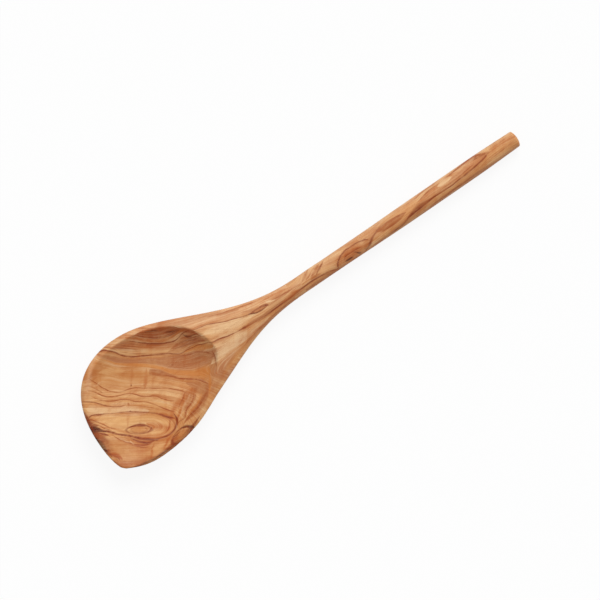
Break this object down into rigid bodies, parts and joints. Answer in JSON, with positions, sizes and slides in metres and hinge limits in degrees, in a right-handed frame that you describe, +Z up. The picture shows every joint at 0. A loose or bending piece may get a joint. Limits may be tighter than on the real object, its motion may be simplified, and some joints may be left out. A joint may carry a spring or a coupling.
{
  "type": "wooden spoon",
  "caption": "One-piece olive-wood cooking spoon with a shallow hollow, an off-centre pointed corner on its head and a round handle.",
  "frame": {"origin": "middle of the bounding box at the table that the spoon lies on", "axes": "+X along the handle towards its end, +Z up out of the hollow, +Y towards the head's rounded side, so the pointed corner is at -X -Y"},
  "size_m": [0.3198, 0.0766, 0.017],
  "materials": {
    "olive_wood": "smooth sanded and oiled, satin, with dark growth lines and knots"
  },
  "bodies": {
    "root": {"spoon": "olive_wood"}
  },
  "joints": []
}
